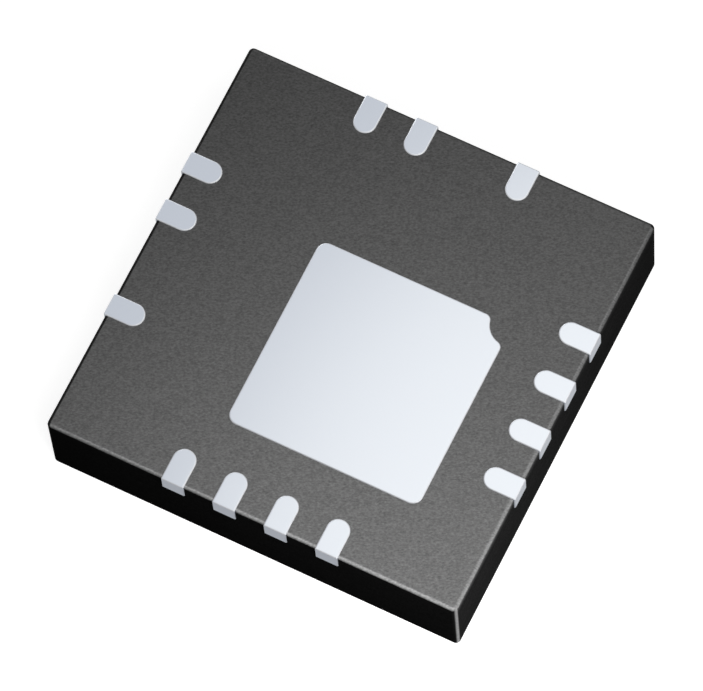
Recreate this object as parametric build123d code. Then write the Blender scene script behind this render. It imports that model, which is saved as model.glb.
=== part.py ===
from build123d import *
import os

# A 14-lead moulded chip package that lies on its marking face with its solder lands up.
# Sizes are in millimetres. The origin is the middle of the marking face and +Z points out of the
# lands. Leads 1 to 4 are on the +X side, and the numbers run clockwise, seen from above.

# Moulded body
package_side = 4.0
package_height = 0.90  # marking face to solder lands
standoff = 0.01  # how far the lands stand proud of the moulding
body_edge_radius = 0.03

# Pin 1 dimple in the marking face
dimple_diameter = 0.40
dimple_depth = 0.03
dimple_inset = 0.50  # its centre, from both sides of the corner by lead 1

# Leadframe strip
frame_thickness = 0.203
half_etch = 0.10  # metal etched away on the land side of the fingers and the ledge

# Leads
lead_pitch = 0.50
places_per_side = 4
land_width = 0.22
land_length = 0.35  # outer end to round inner tip
lead_protrusion = 0.015  # how far the cut ends stand out of the body's sides
finger_width = 0.30
finger_reach = 0.13  # from the land's tip towards the die
finger_setback = 0.12  # from the body's side
finger_chamfer = 0.06

# Lead places in use on each side, by the angle of the side's outward direction
places_in_use = {0: (0, 1, 2, 3), -90: (0, 1, 2, 3), 180: (0, 2, 3), 90: (0, 1, 3)}

# Die pad
pad_side = 1.88
pad_margin = 0.72  # from the pad's edges to the two near sides of the body
pad_corner_radius = 0.10
pad_ledge = 0.10  # half-etched rim that locks the pad in the moulding
notch_radius = 0.20  # pin 1 notch, about the pad's own corner
notch_blend_radius = 0.065

# Die and its epoxy
die_width = 1.26
die_length = 1.44
die_thickness = 0.20
attach_thickness = 0.025
attach_spread = 0.06  # foot of the epoxy fillet, out from the die
attach_climb = 0.08  # height of the epoxy fillet up the die's sides
attach_lip = 0.01  # width of the fillet at its top

# Bond wires
wire_diameter = 0.038
ball_diameter = 0.085
ball_height = 0.02
loop_height = 0.13  # above the die
shoulder_share = 0.3  # how much of a wire's span the flat shoulder of its loop takes
bond_pad_pitch = 0.26
bond_pad_inset = 0.09  # ball centre, from the die's edge
stitch_diameter = 0.07
stitch_height = 0.012
stitch_inset = 0.10  # stitch centre, from the finger's inner end

# Levels of the leadframe and the die
land_level = package_height
body_top = land_level - standoff
etched_level = land_level - half_etch
inner_level = land_level - frame_thickness
die_back = inner_level - attach_thickness
die_face = die_back - die_thickness
loop_level = die_face - loop_height

# Places worked out from the sizes
half_side = package_side / 2
lead_end = half_side + lead_protrusion
land_tip = lead_end - land_length
finger_end = land_tip - finger_reach
pad_centre = half_side - pad_margin - pad_side / 2


def slab(outline, low, high):
    """The outline, given on the ground plane, as a plate from one level up to another."""
    return Pos(0, 0, low) * extrude(outline, amount=high - low)


def on_pad(shape):
    """The shape, made about the origin, moved to the middle of the die pad."""
    return Pos(pad_centre, -pad_centre, 0) * shape


def place_offset(place, pitch):
    """How far a lead place lies from the middle of its side, when places have this pitch."""
    return ((places_per_side - 1) / 2 - place) * pitch


def mould_block():
    """The moulded body before the metal and the die take their room out of it."""
    block = slab(Rectangle(package_side, package_side), 0, body_top)
    block = fillet(block.edges(), body_edge_radius)
    dimple_place = half_side - dimple_inset
    dimple = slab(Circle(dimple_diameter / 2), 0, dimple_depth)
    return block - Pos(dimple_place, dimple_place, 0) * dimple


def die_pad():
    """The exposed pad with its pin 1 notch, on a wider half-etched ledge."""
    half_pad = pad_side / 2
    notch = Pos(half_pad, half_pad) * Circle(notch_radius)
    outline = Rectangle(pad_side, pad_side) - notch
    plain_corners = outline.vertices().filter_by(lambda v: v.X * v.Y < 0 or v.X + v.Y < 0)
    outline = fillet(plain_corners, pad_corner_radius)
    notch_ends = outline.vertices().sort_by_distance((half_pad, half_pad))[:2]
    outline = fillet(notch_ends, notch_blend_radius)
    ledge_side = pad_side + 2 * pad_ledge
    ledge = RectangleRounded(ledge_side, ledge_side, pad_corner_radius + pad_ledge)
    return on_pad(slab(outline, inner_level, land_level) + slab(ledge, inner_level, etched_level))


def lead():
    """One lead on the +X side's middle line: a round-tipped land on a wider half-etched finger."""
    tip_centre = land_tip + land_width / 2
    land = Pos(tip_centre, 0) * Circle(land_width / 2)
    land += Pos((tip_centre + lead_end) / 2, 0) * Rectangle(lead_end - tip_centre, land_width)
    finger_outer = half_side - finger_setback
    finger = Pos((finger_outer + finger_end) / 2, 0) * Rectangle(finger_outer - finger_end, finger_width)
    finger = chamfer(finger.vertices(), finger_chamfer)
    return slab(land, inner_level, land_level) + slab(finger, inner_level, etched_level)


def silicon_die():
    """The die, with its active face away from the pad."""
    return on_pad(slab(Rectangle(die_width, die_length), die_face, die_back))


def die_attach(die):
    """The epoxy between pad and die, with the fillet that climbs the die's sides."""
    foot = Rectangle(die_width + 2 * attach_spread, die_length + 2 * attach_spread)
    lip = Rectangle(die_width + 2 * attach_lip, die_length + 2 * attach_lip)
    fillet_top = die_back - attach_climb
    return on_pad(loft([Pos(0, 0, fillet_top) * lip, Pos(0, 0, inner_level) * foot])) - die


def octagon(across_flats):
    """The eight-sided section of wires and bonds, with flats square to the plane's axes."""
    return Rot(0, 0, 22.5) * RegularPolygon(across_flats / 2, 8, major_radius=False)


def bond_wire(angle, place, lead_metal):
    """One wire: its ball on the die, a neck, a flat shoulder, and the slope to its stitch on the lead.

    The straight runs are the four-point loop that bonding drawings use.
    """
    die_reach = (die_width if angle in (0, 180) else die_length) / 2
    turn = Rot(0, 0, angle)
    ball = on_pad(turn * Pos(die_reach - bond_pad_inset, place_offset(place, bond_pad_pitch)))
    stitch = turn * Pos(finger_end + stitch_inset, place_offset(place, lead_pitch))
    start = Vector(ball.position.X, ball.position.Y, die_face)
    end = Vector(stitch.position.X, stitch.position.Y, inner_level)
    across = Vector(end.X - start.X, end.Y - start.Y, 0)
    kink = Vector(start.X, start.Y, loop_level)
    shoulder = kink + across * shoulder_share
    run_out = (end - shoulder).normalized() * wire_diameter
    on_die = Plane(start, x_dir=across, z_dir=(0, 0, -1))
    on_lead = Plane(end, x_dir=across, z_dir=(0, 0, -1))
    path = Polyline(start, kink, shoulder, end + run_out)
    wire = sweep(on_die * octagon(wire_diameter), path=path, transition=Transition.RIGHT)
    wire += extrude(on_die * octagon(ball_diameter), amount=ball_height)
    wire += extrude(on_lead * octagon(stitch_diameter), amount=stitch_height)
    return wire - lead_metal


parts = {"die_pad": die_pad(), "silicon_die": silicon_die()}
parts["die_attach"] = die_attach(parts["silicon_die"])
number = 0
for angle, places in places_in_use.items():
    for place in places:
        number += 1
        metal = Rot(0, 0, angle) * Pos(0, place_offset(place, lead_pitch), 0) * lead()
        parts[f"lead_{number:02d}"] = metal
        parts[f"bond_wire_{number:02d}"] = bond_wire(angle, place, metal)
parts["mould_body"] = mould_block() - list(parts.values())

os.makedirs("parts", exist_ok=True)
for name, shape in parts.items():
    export_step(shape, f"parts/{name}.step")
    print(name, "volume", round(shape.volume, 5))
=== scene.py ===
import math

import bmesh
import bpy
from mathutils import Matrix, Vector


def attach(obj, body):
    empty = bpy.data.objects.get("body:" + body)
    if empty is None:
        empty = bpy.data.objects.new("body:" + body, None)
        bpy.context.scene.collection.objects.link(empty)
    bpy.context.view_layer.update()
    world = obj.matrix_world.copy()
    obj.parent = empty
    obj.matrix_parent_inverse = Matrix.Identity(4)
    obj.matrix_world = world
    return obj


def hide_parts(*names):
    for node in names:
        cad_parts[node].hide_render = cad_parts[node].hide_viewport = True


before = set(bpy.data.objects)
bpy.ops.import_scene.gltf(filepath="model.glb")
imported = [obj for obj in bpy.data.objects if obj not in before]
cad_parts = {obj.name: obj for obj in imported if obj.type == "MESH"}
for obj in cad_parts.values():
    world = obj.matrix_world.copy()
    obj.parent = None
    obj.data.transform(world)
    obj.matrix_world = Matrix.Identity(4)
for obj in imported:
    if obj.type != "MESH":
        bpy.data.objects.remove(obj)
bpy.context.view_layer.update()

# Sizes of the package in millimetres, as in the part's source
package_side = 4.0
land_level = 0.90
body_top = 0.89
dimple_diameter = 0.40
dimple_depth = 0.03
dimple_inset = 0.50
etched_level = 0.80
inner_level = 0.697
lead_pitch = 0.50
places_per_side = 4
land_width = 0.22
land_length = 0.35
lead_end = 2.015
finger_width = 0.30
finger_reach = 0.13
finger_setback = 0.12
finger_chamfer = 0.06
pad_side = 1.88
pad_margin = 0.72
pad_corner_radius = 0.10
pad_ledge = 0.10
notch_radius = 0.20
notch_blend_radius = 0.065
die_width = 1.26
die_length = 1.44
die_thickness = 0.20
attach_thickness = 0.025
attach_spread = 0.06
attach_climb = 0.08
attach_lip = 0.01
wire_diameter = 0.038
ball_diameter = 0.085
ball_height = 0.02
loop_height = 0.13
shoulder_share = 0.3
bond_pad_pitch = 0.26
bond_pad_inset = 0.09
stitch_diameter = 0.07
stitch_height = 0.012
stitch_inset = 0.10

# Lead places in use on each side, by the angle of the side's outward direction
places_in_use = {0: (0, 1, 2, 3), -90: (0, 1, 2, 3), 180: (0, 2, 3), 90: (0, 1, 3)}

# Finish that only the scene gives the pieces, in millimetres
corner_edge_radius = 0.046
land_side_radius = 0.042
marking_side_radius = 0.015
metal_edge_radius = 0.014
dimple_edge_radius = 0.012
die_edge_radius = 0.003
bond_edge_radius = 0.005
scribe_width = 0.02
scribe_slope = 0.005
scribe_depth = 0.001
seat = 0.002  # how far a bond or the epoxy bites into what carries it

# Shares: where a wire's slope is held between its shoulder and its stitch, and how far down and how
# far out each step of the epoxy's fillet lies
wire_slope_share = 0.7
fillet_steps = ((0.45, 0.1), (0.75, 0.35), (1.0, 1.0))

# Places worked out from the sizes
half_side = package_side / 2
pad_place = half_side - pad_margin - pad_side / 2
land_tip = lead_end - land_length
finger_end = land_tip - finger_reach
die_back = inner_level - attach_thickness
die_face = die_back - die_thickness
loop_level = die_face - loop_height

millimetre = 0.001  # in metres
hair = 0.001  # two levels or points closer than this, in millimetres, are the same
merge_distance = 0.0001  # in millimetres
corner_turn = math.radians(45)  # faces that turn more than this at an edge make a corner
sharp_turn = math.radians(40)  # an edge that turns more than this isn't smoothed over


def only(piece):
    """Selects this piece and no other."""
    bpy.ops.object.select_all(action="DESELECT")
    piece.select_set(True)
    bpy.context.view_layer.objects.active = piece


def named(name, size=(1, 1, 1)):
    """The object that was just added, under its name, with its place and size in its mesh."""
    piece = bpy.context.object
    piece.name = name
    piece.data.name = name
    piece.scale = size
    only(piece)
    bpy.ops.object.transform_apply(location=True, rotation=True, scale=True)
    return piece


def block(name, low, high):
    """A box between two corners."""
    low, high = Vector(low), Vector(high)
    bpy.ops.mesh.primitive_cube_add(size=1, location=(low + high) / 2)
    return named(name, high - low)


def button(name, centre, low, high, diameter, sides):
    """A round upright slug between two levels."""
    place = (centre[0], centre[1], (low + high) / 2)
    radius = diameter / 2
    bpy.ops.mesh.primitive_cylinder_add(vertices=sides, radius=radius, depth=high - low, location=place)
    return named(name)


def sheet_face(name, low, high, level):
    """A flat rectangle between two corners, the start of a plate cut from strip metal."""
    middle = ((low[0] + high[0]) / 2, (low[1] + high[1]) / 2, level)
    bpy.ops.mesh.primitive_plane_add(size=1, location=middle)
    return named(name, (high[0] - low[0], high[1] - low[1], 1))


def edit(piece):
    """Goes into edit mode on this piece with nothing in it selected."""
    only(piece)
    bpy.ops.object.mode_set(mode="EDIT")
    bpy.ops.mesh.select_all(action="DESELECT")


def pick(piece, kind, wanted):
    """Selects the vertices, edges or faces of the edited piece that pass a test, and no others."""
    bpy.ops.mesh.select_mode(type=kind)
    bpy.ops.mesh.select_all(action="DESELECT")
    mesh = bmesh.from_edit_mesh(piece.data)
    parts = {"VERT": mesh.verts, "EDGE": mesh.edges, "FACE": mesh.faces}[kind]
    for part in parts:
        if wanted(part):
            part.select_set(True)
    mesh.select_flush_mode()
    bmesh.update_edit_mesh(piece.data)


def merge_all(distance):
    """Merges the edited piece's vertices that lie this close, and leaves all of it selected."""
    bpy.ops.mesh.select_all(action="SELECT")
    bpy.ops.mesh.remove_doubles(threshold=distance)
    bpy.ops.mesh.select_all(action="SELECT")


def turn_outwards():
    """Makes all faces of the edited piece point outwards, and ends the edit."""
    bpy.ops.mesh.select_all(action="SELECT")
    bpy.ops.mesh.normals_make_consistent(inside=False)
    leave_edit()


def leave_edit():
    """Goes back to object mode."""
    bpy.ops.object.mode_set(mode="OBJECT")


def round_corners(piece, wanted, radius, steps):
    """Rounds the corners of a flat face, given by a test on their vertices."""
    edit(piece)
    pick(piece, "VERT", wanted)
    bpy.ops.mesh.bevel(offset=radius, segments=steps, affect="VERTICES")
    merge_all(merge_distance)
    leave_edit()


def thicken(piece, height):
    """Pulls a flat face up into a plate."""
    edit(piece)
    bpy.ops.mesh.select_all(action="SELECT")
    bpy.ops.mesh.extrude_region_move(TRANSFORM_OT_translate={"value": (0, 0, height)})
    turn_outwards()


def combine(piece, other, operation):
    """Joins another solid to the piece or cuts it out, and removes that solid."""
    only(piece)
    modifier = piece.modifiers.new("combine", "BOOLEAN")
    modifier.operation = operation
    modifier.solver = "EXACT"
    modifier.object = other
    bpy.ops.object.modifier_apply(modifier=modifier.name)
    bpy.data.objects.remove(other)


def round_edges(piece, wanted, radius, steps):
    """Rounds the edges of a solid that pass a test."""
    edit(piece)
    pick(piece, "EDGE", wanted)
    bpy.ops.mesh.bevel(offset=radius, segments=steps, affect="EDGES")
    leave_edit()


def is_corner(edge):
    """True for an edge where two faces meet at more than half a right angle."""
    return len(edge.link_faces) == 2 and edge.calc_face_angle() > corner_turn


def is_above(edge, level):
    """True for an edge that lies on or above a level."""
    return min(vertex.co.z for vertex in edge.verts) > level - hair


def is_below(edge, level):
    """True for an edge that lies on or below a level."""
    return max(vertex.co.z for vertex in edge.verts) < level + hair


def is_upright(edge):
    """True for an edge that stands between two levels."""
    return abs(edge.verts[0].co.z - edge.verts[1].co.z) > hair


def rim_at(level):
    """A test for the corners of a solid that lie on or above a level."""
    return lambda edge: is_corner(edge) and is_above(edge, level)


def finish_shading(piece):
    """Smooths the rounded edges, and keeps the corners sharp and the flat faces flat."""
    edit(piece)
    bpy.ops.mesh.select_mode(type="EDGE")
    bpy.ops.mesh.edges_select_sharp(sharpness=sharp_turn)
    bpy.ops.mesh.mark_sharp()
    leave_edit()
    bpy.ops.object.shade_smooth()
    modifier = piece.modifiers.new("flat_faces", "WEIGHTED_NORMAL")
    modifier.weight = 100
    modifier.keep_sharp = True
    bpy.ops.object.modifier_apply(modifier=modifier.name)


def to_metres(piece):
    """Sets a piece that was modelled in millimetres to metres."""
    only(piece)
    piece.scale = (millimetre, millimetre, millimetre)
    bpy.ops.object.transform_apply(location=True, rotation=True, scale=True)


def own_copy(piece):
    """A copy with its own mesh."""
    copy = piece.copy()
    copy.data = piece.data.copy()
    bpy.context.scene.collection.objects.link(copy)
    return copy


def turned_copy(piece, name, angle, shift):
    """A copy with its own mesh, moved along its side and then turned to face another side."""
    copy = own_copy(piece)
    copy.name = name
    copy.data.name = name
    turn = Matrix.Rotation(math.radians(angle), 4, "Z")
    copy.matrix_world = turn @ Matrix.Translation((0, shift, 0))
    only(copy)
    bpy.ops.object.transform_apply(location=True, rotation=True, scale=True)
    return copy


def row_of(place):
    """How many pitches a lead's place lies from the middle of its side."""
    return (places_per_side - 1) / 2 - place


def lead_metal():
    """The lead on the +X side's middle line: a round-tipped land on a wider half-etched finger."""
    half_width = land_width / 2
    land = sheet_face("land", (land_tip, -half_width), (lead_end, half_width), inner_level)
    round_corners(land, lambda v: v.co.x < land_tip + half_width, half_width, steps=12)
    thicken(land, land_level - inner_level)
    finger_low = (finger_end, -finger_width / 2)
    finger_high = (half_side - finger_setback, finger_width / 2)
    finger = sheet_face("finger", finger_low, finger_high, inner_level)
    round_corners(finger, lambda v: True, finger_chamfer, steps=1)
    thicken(finger, etched_level - inner_level)
    combine(land, finger, "UNION")

    def shows(edge):
        middle = (edge.verts[0].co + edge.verts[1].co) / 2
        return is_corner(edge) and (middle.z > land_level - hair or middle.x > lead_end - hair)

    round_edges(land, shows, metal_edge_radius, steps=3)
    return land


def pad_metal():
    """The exposed pad with its pin 1 notch, on a wider half-etched ledge."""
    half = pad_side / 2
    low = (pad_place - half, -pad_place - half)
    high = (pad_place + half, -pad_place + half)
    pad = sheet_face("tinned_pad", low, high, inner_level)
    corner = Vector((high[0], high[1], inner_level))
    shoulder_distance = notch_radius + notch_blend_radius
    blend_reach = math.sqrt(shoulder_distance**2 - notch_blend_radius**2)
    round_corners(pad, lambda v: (v.co - corner).length > half, pad_corner_radius, steps=8)
    round_corners(pad, lambda v: (v.co - corner).length < half / 2, blend_reach, steps=1)

    # The notch: the cut corner's edge gives way to a hollow arc between two rounded shoulders
    edit(pad)
    pick(pad, "FACE", lambda f: True)
    bpy.ops.mesh.delete(type="ONLY_FACE")
    pick(pad, "EDGE", lambda e: all((v.co - corner).length < half / 2 for v in e.verts))
    bpy.ops.mesh.delete(type="EDGE")
    start = corner + Vector((0, -blend_reach, 0))
    pick(pad, "VERT", lambda v: (v.co - start).length < hair)
    shoulder_turn = math.acos(notch_blend_radius / shoulder_distance)
    notch_turn = math.pi / 2 - 2 * math.asin(notch_blend_radius / shoulder_distance)
    first_shoulder = corner + Vector((-notch_blend_radius, -blend_reach, 0))
    second_shoulder = corner + Vector((-blend_reach, -notch_blend_radius, 0))
    bpy.ops.mesh.spin(steps=8, angle=-shoulder_turn, center=first_shoulder, axis=(0, 0, 1))
    bpy.ops.mesh.spin(steps=12, angle=notch_turn, center=corner, axis=(0, 0, 1))
    bpy.ops.mesh.spin(steps=8, angle=-shoulder_turn, center=second_shoulder, axis=(0, 0, 1))
    merge_all(hair)
    bpy.ops.mesh.edge_face_add()
    leave_edit()
    thicken(pad, land_level - inner_level)

    ledge_low = (low[0] - pad_ledge, low[1] - pad_ledge)
    ledge_high = (high[0] + pad_ledge, high[1] + pad_ledge)
    ledge = sheet_face("ledge", ledge_low, ledge_high, inner_level)
    round_corners(ledge, lambda v: True, pad_corner_radius + pad_ledge, steps=8)
    thicken(ledge, etched_level - inner_level)
    combine(pad, ledge, "UNION")
    round_edges(pad, rim_at(land_level), metal_edge_radius, steps=3)
    return pad


def chip():
    """The bare die, whose active face looks away from the pad, with a lower scribe line round it."""
    low = (pad_place - die_width / 2, -pad_place - die_length / 2, die_face)
    high = (pad_place + die_width / 2, -pad_place + die_length / 2, die_back)
    die = block("bare_chip", low, high)
    round_edges(die, is_corner, die_edge_radius, steps=2)
    edit(die)
    pick(die, "FACE", lambda f: f.normal.z < -0.99)
    bpy.ops.mesh.inset(thickness=scribe_width, depth=0)
    bpy.ops.mesh.inset(thickness=scribe_slope, depth=scribe_depth)
    leave_edit()
    return die


def epoxy_bed():
    """The solid outline of the epoxy: a layer under the die with a hollow fillet up its sides."""
    foot = inner_level + seat
    lip = die_back - attach_climb
    reach = attach_lip
    level = lip
    low = (pad_place - die_width / 2 - reach, -pad_place - die_length / 2 - reach)
    high = (pad_place + die_width / 2 + reach, -pad_place + die_length / 2 + reach)
    bed = sheet_face("chip_epoxy", low, high, level)
    edit(bed)
    bpy.ops.mesh.select_all(action="SELECT")
    for height_share, spread_share in fillet_steps:
        next_reach = attach_lip + (attach_spread - attach_lip) * spread_share
        next_level = lip + (foot - lip) * height_share
        drop = (0, 0, next_level - level)
        bpy.ops.mesh.extrude_region_move(TRANSFORM_OT_translate={"value": drop})
        wider = (die_width + 2 * next_reach) / (die_width + 2 * reach)
        longer = (die_length + 2 * next_reach) / (die_length + 2 * reach)
        centre = (pad_place, -pad_place, next_level)
        bpy.ops.transform.resize(value=(wider, longer, 1), center_override=centre)
        reach, level = next_reach, next_level
    turn_outwards()
    return bed


def bond(name, centre, low, high, diameter):
    """A ball or stitch bond: a round pressed button with soft edges, between two levels."""
    pressed = button(name, centre, low, high, diameter, sides=24)
    round_edges(pressed, is_corner, bond_edge_radius, steps=2)
    return pressed


def looped_wire(name, angle, place):
    """A round wire from its ball bond on the die, over its loop, to its stitch bond on a finger."""
    die_reach = (die_width if angle in (0, 180) else die_length) / 2
    turn = Matrix.Rotation(math.radians(angle), 3, "Z")
    on_die = turn @ Vector((die_reach - bond_pad_inset, row_of(place) * bond_pad_pitch, 0))
    on_die += Vector((pad_place, -pad_place, die_face))
    on_lead = turn @ Vector((finger_end + stitch_inset, row_of(place) * lead_pitch, inner_level))
    across = Vector((on_lead.x - on_die.x, on_lead.y - on_die.y, 0))
    kink = Vector((on_die.x, on_die.y, loop_level))
    shoulder = kink + across * shoulder_share
    start = on_die - Vector((0, 0, ball_height / 2))
    end = on_lead - Vector((0, 0, stitch_height / 2))
    route = (start, kink, shoulder, shoulder.lerp(end, wire_slope_share), end)

    bpy.ops.curve.primitive_nurbs_path_add(radius=1, location=(0, 0, 0))
    wire = bpy.context.object
    spline = wire.data.splines[0]
    for point, spot in zip(spline.points, route):
        point.co = (*spot, 1)
    spline.order_u = 3
    spline.use_endpoint_u = True
    spline.resolution_u = 8
    wire.data.bevel_depth = wire_diameter / 2
    wire.data.bevel_resolution = 3
    wire.data.use_fill_caps = True
    only(wire)
    bpy.ops.object.convert(target="MESH")
    wire = named(name)
    edit(wire)
    merge_all(merge_distance)
    turn_outwards()
    ball_low = die_face - ball_height
    stitch_low = inner_level - stitch_height
    combine(wire, bond("ball", on_die, ball_low, die_face + seat, ball_diameter), "UNION")
    combine(wire, bond("stitch", on_lead, stitch_low, inner_level + seat, stitch_diameter), "UNION")
    return wire


def moulding(filled):
    """The moulded body, with its pin 1 dimple and the room that the metal and the die take."""
    body = block("moulding", (-half_side, -half_side, 0), (half_side, half_side, body_top))
    round_edges(body, is_upright, corner_edge_radius, steps=6)
    round_edges(body, lambda e: is_above(e, body_top), land_side_radius, steps=6)
    round_edges(body, lambda e: is_below(e, 0), marking_side_radius, steps=4)
    dimple_place = (half_side - dimple_inset, half_side - dimple_inset)
    dimple = button("dimple", dimple_place, -dimple_depth, dimple_depth, dimple_diameter, sides=64)
    round_edges(dimple, rim_at(dimple_depth), dimple_edge_radius, steps=3)
    combine(body, dimple, "DIFFERENCE")
    for piece in filled:
        combine(body, own_copy(piece), "DIFFERENCE")
    return body


class Signal:
    """A node's output in a material, written into sums like a number; each sum adds a Math node."""

    def __init__(self, tree, socket=None):
        self.tree = tree
        self.socket = socket

    def node(self, kind, settings=None, inputs=None, output=0):
        """Adds a node, sets it up, fills or links its inputs, and returns one of its outputs."""
        made = self.tree.nodes.new(kind)
        for name, value in (settings or {}).items():
            setattr(made, name, value)
        for name, value in (inputs or {}).items():
            if isinstance(value, Signal):
                self.tree.links.new(value.socket, made.inputs[name])
            else:
                made.inputs[name].default_value = value
        return Signal(self.tree, made.outputs[output] if made.outputs else None)

    def maths(self, operation, *values):
        """One Math node on these values."""
        return self.node("ShaderNodeMath", {"operation": operation}, dict(enumerate(values)))

    def __add__(self, other):
        return self.maths("ADD", self, other)

    def __radd__(self, other):
        return self.maths("ADD", other, self)

    def __sub__(self, other):
        return self.maths("SUBTRACT", self, other)

    def __rsub__(self, other):
        return self.maths("SUBTRACT", other, self)

    def __mul__(self, other):
        return self.maths("MULTIPLY", self, other)

    def __rmul__(self, other):
        return self.maths("MULTIPLY", other, self)

    def __abs__(self):
        return self.maths("ABSOLUTE", self)

    def sway(self, strength):
        """A noise signal, which lies about a half, as ups and downs of this strength about 0."""
        return (self - 0.5) * strength

    def between(self, low, high, low_value=0.0, high_value=1.0):
        """Eases from one value to another as the signal goes from low to high."""
        settings = {"interpolation_type": "SMOOTHSTEP"}
        ends = {"From Min": low, "From Max": high, "To Min": low_value, "To Max": high_value}
        return self.node("ShaderNodeMapRange", settings, {"Value": self, **ends})


def grey(level):
    """An opaque grey of this linear level."""
    return (level, level, level, 1)


def mixed(factor, first, second):
    """One colour turning into another by a factor."""
    settings = {"data_type": "RGBA"}
    return factor.node("ShaderNodeMix", settings, {"Factor": factor, 6: first, 7: second}, output=2)


def blended(factor, first, second):
    """One level turning into another by a factor."""
    return first + (second - first) * factor


def part_of(vector, axis):
    """The x, y or z of a vector, counted from 0."""
    return vector.node("ShaderNodeSeparateXYZ", inputs={"Vector": vector}, output=axis)


def level_of(colour):
    """The red of a grey colour, which is its level."""
    return colour.node("ShaderNodeSeparateColor", inputs={"Color": colour}, output=0)


def new_material(name):
    """An empty material: its tree as a signal to build on, and the material itself."""
    material = bpy.data.materials.new(name)
    material.use_nodes = True
    material.node_tree.nodes.clear()
    return Signal(material.node_tree), material


def surface(start, inputs):
    """The principled shader with these inputs, joined to the material's output."""
    shader = start.node("ShaderNodeBsdfPrincipled", inputs=inputs)
    start.node("ShaderNodeOutputMaterial", inputs={"Surface": shader})


def coordinates(start):
    """The place on the object and the way that its surface faces, in the object's own frame."""
    place = start.node("ShaderNodeTexCoord", output="Object")
    facing = start.node("ShaderNodeTexCoord", output="Normal")
    return place, facing


def noise(start, place, per_metre, detail, roughness=0.5):
    """Cloudy noise with about this many patches to the metre."""
    inputs = {"Vector": place, "Scale": per_metre, "Detail": detail, "Roughness": roughness}
    return start.node("ShaderNodeTexNoise", inputs=inputs)


def tiles(start, place, per_metre, width, height, gap):
    """Rows of rectangles, each with its own random level from 0 to 1."""
    settings = {"offset": 0.0, "squash": 0.5, "squash_frequency": 3}
    sizes = {"Scale": per_metre, "Brick Width": width, "Row Height": height, "Mortar Size": gap}
    levels = {"Color1": grey(0.0), "Color2": grey(1.0), "Mortar": grey(0.5)}
    rows = start.node("ShaderNodeTexBrick", settings, {"Vector": place, **sizes, **levels})
    return level_of(rows)


def relief(start, height, strength, depth):
    """The normals of a surface with this fine relief, whose depth is in metres."""
    inputs = {"Height": height, "Strength": strength, "Distance": depth}
    return start.node("ShaderNodeBump", inputs=inputs)


# Greys of the moulding compound; a pair is the grey near the front right corner and far from it.
# The front and right sides are darker than the back and left with painted shade, the back and left
# edges carry painted shade, and the front and right edges, the upright corner between them and the
# right side's top carry painted highlights
face_grey = 0.10
front_side_grey_with_painted_shade = 0.0072
right_side_grey_with_painted_shade = 0.0125
hidden_side_grey = 0.03
edge_painted_shade_grey = 0.02
front_edge_painted_highlight_greys = (0.25, 0.235)
right_edge_painted_highlight_greys = (0.161, 0.118)
right_side_painted_highlight = (0.034, 0.007)
corner_edge_painted_highlight_grey = 0.175

# Mottling of the moulding compound, from the mould's polish and from the saw
grain_strength = 1.45
cloud_strength = 0.06
saw_strength = 0.8
polish_direction = math.radians(26)
polish_narrowing = 0.6  # width of the grain across that direction, as a share of its length
saw_stretch = 0.04  # fineness of the saw lines along their run, as a share of that across it


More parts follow.
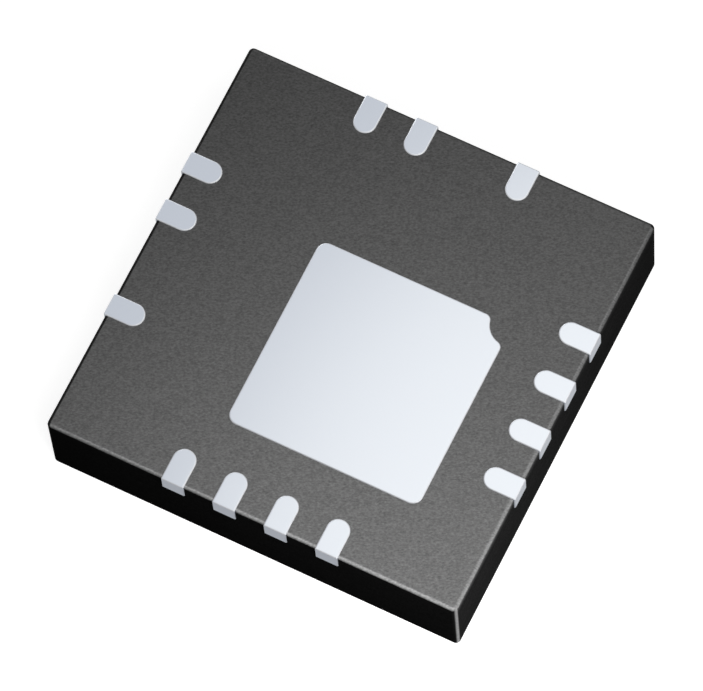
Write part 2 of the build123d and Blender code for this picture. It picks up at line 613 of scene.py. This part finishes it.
def mould_compound():
    """Black moulding compound: grainy dull faces, with painted shade on the front and right sides and
    on the back and left edges, and painted highlights on the front and right edges.
    """
    start, material = new_material("mould_compound")
    place, facing = coordinates(start)
    ways = [part_of(facing, axis) for axis in range(3)]
    across, along, upright = (abs(way) for way in ways)
    is_side = upright.between(0.5, 0.1)

    # Grain of the mould's polish, and saw lines on the sides
    polish_turn = (0, 0, polish_direction)
    polish = {"Vector": place, "Rotation": polish_turn, "Scale": (1, polish_narrowing, 1)}
    grain_place = start.node("ShaderNodeMapping", {"vector_type": "TEXTURE"}, polish)
    saw = {"Vector": place, "Scale": (saw_stretch, saw_stretch, 1)}
    saw_place = start.node("ShaderNodeMapping", inputs=saw)
    grain = noise(start, grain_place, per_metre=42000, detail=2, roughness=0.6)
    cloud = noise(start, place, per_metre=1500, detail=2)
    saw_lines = noise(start, saw_place, per_metre=60000, detail=2)
    tone = 1 + grain.sway(grain_strength) + cloud.sway(cloud_strength)
    tone = tone + saw_lines.sway(saw_strength) * is_side
    face = tone * face_grey

    # The edges at the back and on the left carry painted shade, darker than the face and their sides
    dark = tone * upright.between(0.0, 0.3, hidden_side_grey, edge_painted_shade_grey)
    edges_with_painted_shade = blended(across.between(0.35, 0.12) * along.between(0.9, 0.3), dark, face)

    # The edges at the front and on the right carry a painted highlight, most of all towards their
    # corner;
    # the sides below them are darkened with painted shade, the front side most
    side = tone * across.between(0.3, 0.7, front_side_grey_with_painted_shade, right_side_grey_with_painted_shade)
    away = part_of(place, 1) - part_of(place, 0)
    far = away.between(-package_side * millimetre, 0.0)
    rightward = across.between(0.2, 0.6)
    painted_highlight_grey = blended(rightward, blended(far, *front_edge_painted_highlight_greys), blended(far, *right_edge_painted_highlight_greys))

    # Near that corner the painted highlight reaches further over the face and down the side
    face_end = (upright + (1 - far) * rightward * 0.06).between(0.998, 0.86)
    side_end = upright.between(far * 0.1, 0.68 + far * (0.32 - rightward * 0.13))
    height = part_of(place, 2)
    under_edge = height.between(0.74 * millimetre, 0.87 * millimetre) * across.between(0.5, 0.9)
    # A painted highlight on the right side just under its top edge, brightest near the front
    glow = tone * under_edge * blended(far, *right_side_painted_highlight)
    edges_with_painted_highlight = blended(side_end, side, blended(face_end, face, tone * painted_highlight_grey)) + glow

    # The upright edge between those two sides carries a painted highlight too
    faces_front_or_right = ways[0].between(-0.3, 0.0) * ways[1].between(0.3, 0.0)
    corner = across.between(0.5, 0.8) * along.between(0.08, 0.45) * faces_front_or_right
    level = blended(corner, blended(faces_front_or_right, edges_with_painted_shade, edges_with_painted_highlight), tone * corner_edge_painted_highlight_grey)
    surface(
        start,
        {
            "Base Color": level,
            "Roughness": grain.between(0.2, 0.8, 0.5, 0.65),
            "Specular IOR Level": 0.0,
            "Coat Weight": corner + upright.between(0.9, 1.0) * 0.1,
            "Coat Roughness": 0.45,
            "Normal": relief(start, grain + saw_lines * is_side, strength=0.35, depth=3e-6),
        },
    )
    return material


# Colours of the other finishes: the two ends of each one's mottling, the tin's painted highlight where
# it faces right or left, and its rims
dull_tin = (0.475, 0.51, 0.575, 1)
bright_tin = (0.51, 0.548, 0.613, 1)
side_tin_painted_highlight = (0.62, 0.655, 0.715, 1)
rim_tin = (0.51, 0.525, 0.555, 1)
dark_circuit = (0.09, 0.11, 0.16, 1)
pale_circuit = (0.42, 0.38, 0.33, 1)
dark_silicon = (0.15, 0.155, 0.17, 1)
pale_silicon = (0.20, 0.205, 0.22, 1)
dark_paste = (0.34, 0.34, 0.33, 1)
pale_paste = (0.62, 0.62, 0.60, 1)
deep_copper = (0.80, 0.46, 0.31, 1)
pale_copper = (0.90, 0.58, 0.42, 1)


def tin_plate():
    """Matt tin plating: a cool satin with a faint crystal grain, with a painted highlight where it
    faces right or left.
    """
    start, material = new_material("tin_plate")
    place, facing = coordinates(start)
    across = abs(part_of(facing, 0))
    upright = abs(part_of(facing, 2))
    grain = noise(start, place, per_metre=60000, detail=2)
    cloud = noise(start, place, per_metre=2500, detail=2)
    tone = grain.sway(0.3) + cloud.sway(0.15) + 0.5
    rim = upright.between(0.15, 0.4) - upright.between(0.9, 0.995)
    plate = mixed(tone, dull_tin, bright_tin)
    # A painted highlight on the tin where it faces right or left
    plate = mixed(across.between(0.6, 0.9), plate, side_tin_painted_highlight)
    plate = mixed(rim, plate, rim_tin)
    surface(
        start,
        {
            "Base Color": plate,
            "Metallic": 1.0,
            "Roughness": tone.between(0.0, 1.0, 0.32, 0.38) + rim * 0.25,
            "Normal": relief(start, grain, strength=0.2, depth=1e-6),
        },
    )
    return material


def chip_silicon():
    """Polished silicon: blocks of fine circuits on the active face, and plain dark grey elsewhere."""
    start, material = new_material("chip_silicon")
    place, facing = coordinates(start)
    is_active = part_of(facing, 2).between(-0.9, -0.99)
    blocks = tiles(start, place, per_metre=3200, width=0.9, height=0.55, gap=0.03)
    tracks = tiles(start, place, per_metre=20000, width=0.5, height=0.25, gap=0.06)
    haze = noise(start, place, per_metre=9000, detail=3)
    circuit = mixed(blocks * 0.7 + tracks * 0.3, dark_circuit, pale_circuit)
    bare = mixed(haze, dark_silicon, pale_silicon)
    surface(
        start,
        {
            "Base Color": mixed(is_active, bare, circuit),
            "Metallic": 0.6,
            "Roughness": haze.between(0.2, 0.8, 0.18, 0.32),
        },
    )
    return material


def silver_epoxy():
    """Grey epoxy full of fine silver flakes."""
    start, material = new_material("silver_epoxy")
    place = start.node("ShaderNodeTexCoord", output="Object")
    flakes = {"Vector": place, "Scale": 160000.0}
    spark = level_of(start.node("ShaderNodeTexVoronoi", inputs=flakes, output="Color"))
    swell = noise(start, place, per_metre=18000, detail=3)
    paste = spark * 0.5 + swell * 0.5
    surface(
        start,
        {
            "Base Color": mixed(paste, dark_paste, pale_paste),
            "Metallic": spark.between(0.5, 1.0) * 0.7,
            "Roughness": swell.between(0.2, 0.8, 0.4, 0.6),
            "Normal": relief(start, swell, strength=0.3, depth=2e-6),
        },
    )
    return material


def bright_copper():
    """Bright drawn copper wire with a faint grain."""
    start, material = new_material("bright_copper")
    place = start.node("ShaderNodeTexCoord", output="Object")
    grain = noise(start, place, per_metre=60000, detail=3)
    surface(
        start,
        {
            "Base Color": mixed(grain, deep_copper, pale_copper),
            "Metallic": 1.0,
            "Roughness": grain.between(0.2, 0.8, 0.22, 0.34),
            "Normal": relief(start, grain, strength=0.2, depth=5e-7),
        },
    )
    return material


# Levels of the floor and of the room's own light
floor_grey = 0.45
floor_glow = 0.87
mirrored_floor_glow = 0.66
unseen_floor_grey = 0.1
room_light = 0.03


def ray(start, kind):
    """1 where a ray is of this kind, and 0 elsewhere."""
    return start.node("ShaderNodeLightPath", output=f"Is {kind} Ray")


def seen_ray(start):
    """1 where the camera sees the background itself, mirrored or through glass, and 0 elsewhere."""
    seen = start.maths("MAXIMUM", ray(start, "Camera"), ray(start, "Glossy"))
    return start.maths("MAXIMUM", seen, ray(start, "Transmission"))


def pale_floor():
    """A plain floor that shows nearly white, keeps the object's shadow and sends little light back."""
    start, material = new_material("pale_floor")
    shaded = start.node("ShaderNodeBsdfDiffuse", inputs={"Color": grey(floor_grey)})
    glow = start.node("ShaderNodeEmission", inputs={"Color": grey(1), "Strength": floor_glow})
    shown = start.node("ShaderNodeAddShader", inputs={0: shaded, 1: glow})
    mirror_light = {"Color": grey(1), "Strength": mirrored_floor_glow}
    mirrored = start.node("ShaderNodeEmission", inputs=mirror_light)
    unseen = start.node("ShaderNodeBsdfDiffuse", inputs={"Color": grey(unseen_floor_grey)})
    indirect = start.node("ShaderNodeMixShader", inputs={0: seen_ray(start), 1: unseen, 2: mirrored})
    is_direct = ray(start, "Camera")
    floor_light = start.node("ShaderNodeMixShader", inputs={0: is_direct, 1: indirect, 2: shown})
    start.node("ShaderNodeOutputMaterial", inputs={"Surface": floor_light})
    return material


def studio_world():
    """A white room for the camera and for reflections, and a faint light from all round."""
    world = bpy.data.worlds.new("studio")
    world.use_nodes = True
    world.node_tree.nodes.clear()
    start = Signal(world.node_tree)
    strength = seen_ray(start).between(0, 1, room_light, 1)
    sky = start.node("ShaderNodeBackground", inputs={"Color": grey(1), "Strength": strength})
    start.node("ShaderNodeOutputWorld", inputs={"Surface": sky})
    return world


def dress(pieces, material):
    """Gives pieces their finish."""
    for piece in pieces:
        piece.data.materials.clear()
        piece.data.materials.append(material)


def softbox(name, place, target, size, power, shape="SQUARE"):
    """A soft lamp that the camera doesn't see, with its places and size in millimetres."""
    lamp = bpy.data.objects.new(name, bpy.data.lights.new(name, "AREA"))
    bpy.context.scene.collection.objects.link(lamp)
    lamp.data.shape = shape
    lamp.data.size = size * millimetre
    lamp.data.energy = power
    lamp.location = Vector(place) * millimetre
    direction = Vector(target) * millimetre - lamp.location
    lamp.rotation_euler = direction.to_track_quat("-Z", "Y").to_euler()
    lamp.visible_camera = False
    return lamp


# Camera, fitted to the outline of the body in the photograph, with its lengths in millimetres
image_width = 703
focal_pixels = 7387.5
sensor_width = 36
azimuth = math.radians(32.387)
elevation = math.radians(68.779)
roll = math.radians(-6.340)
camera_distance = 65.653
sight_across = -0.0381
sight_up = 0.1337

camera = bpy.data.objects.new("camera", bpy.data.cameras.new("camera"))
bpy.context.scene.collection.objects.link(camera)
camera.data.sensor_width = sensor_width
camera.data.lens = sensor_width * focal_pixels / image_width
camera.data.clip_start = 0.001
camera.data.clip_end = 10
sight = Matrix.Rotation(azimuth, 3, "Z") @ Matrix.Rotation(math.pi / 2 - elevation, 3, "X")
sight = sight @ Matrix.Rotation(roll, 3, "Z")
camera_place = sight @ Vector((sight_across, sight_up, camera_distance)) * millimetre
camera.matrix_world = Matrix.Translation(camera_place) @ sight.to_4x4()
bpy.context.scene.camera = camera

# Pieces
pattern = lead_metal()
leads = []
wires = []
for angle, places in places_in_use.items():
    for place in places:
        number = len(leads) + 1
        shift = row_of(place) * lead_pitch
        leads.append(turned_copy(pattern, f"tinned_lead_{number:02d}", angle, shift))
        wires.append(looped_wire(f"looped_wire_{number:02d}", angle, place))
bpy.data.objects.remove(pattern)
pad = pad_metal()
die = chip()
epoxy = epoxy_bed()
body = moulding([*leads, pad, epoxy, die, *wires])
combine(epoxy, own_copy(die), "DIFFERENCE")

for piece in (*leads, pad, *wires, die, epoxy, body):
    finish_shading(piece)
    to_metres(piece)
    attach(piece, "root")
for number, (lead, wire) in enumerate(zip(leads, wires), start=1):
    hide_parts(f"lead_{number:02d}")
    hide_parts(f"bond_wire_{number:02d}")
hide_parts("die_pad")
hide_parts("silicon_die")
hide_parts("die_attach")
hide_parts("mould_body")

# Finishes
dress([body], mould_compound())
dress([*leads, pad], tin_plate())
dress([die], chip_silicon())
dress([epoxy], silver_epoxy())
dress(wires, bright_copper())

# Floor and world
floor_side = 0.6  # in metres
bpy.ops.object.select_all(action="DESELECT")
bpy.ops.mesh.primitive_plane_add(size=floor_side)
floor = named("floor")
floor.data.materials.append(pale_floor())
bpy.context.scene.world = studio_world()

# Lamps: one over the front edge, a neutral panel above the right that lights the moulding, a warm
# panel just below it that shows only in reflections, and two low fills
panel_size = 12.0
panel_target = (4.5, 0.25, 0.0)
key = softbox("key", (2.3, -3.2, 5.0), (2.3, -1.9, 0.9), size=7.0, power=3.6e-4, shape="RECTANGLE")
key.data.size_y = 1.6 * millimetre
key.visible_glossy = False
panel = softbox("panel", (4.5, 0.25, 6.4), panel_target, panel_size, power=2.75e-4, shape="DISK")
panel.visible_glossy = False
warm = softbox("mirrored_panel", (4.5, 0.25, 6.2), panel_target, panel_size, power=3.1e-4, shape="DISK")
warm.data.color = (1.0, 0.93, 0.79)
warm.visible_diffuse = False
softbox("right_fill", (7.3, -2.7, 1.2), (2.0, -1.0, 0.4), size=3.0, power=3.2e-4)
softbox("back_fill", (-8.0, 8.0, 1.0), (0.0, 0.0, 1.0), size=1.8, power=8.0e-4)

bpy.context.scene.view_settings.view_transform = "Standard"
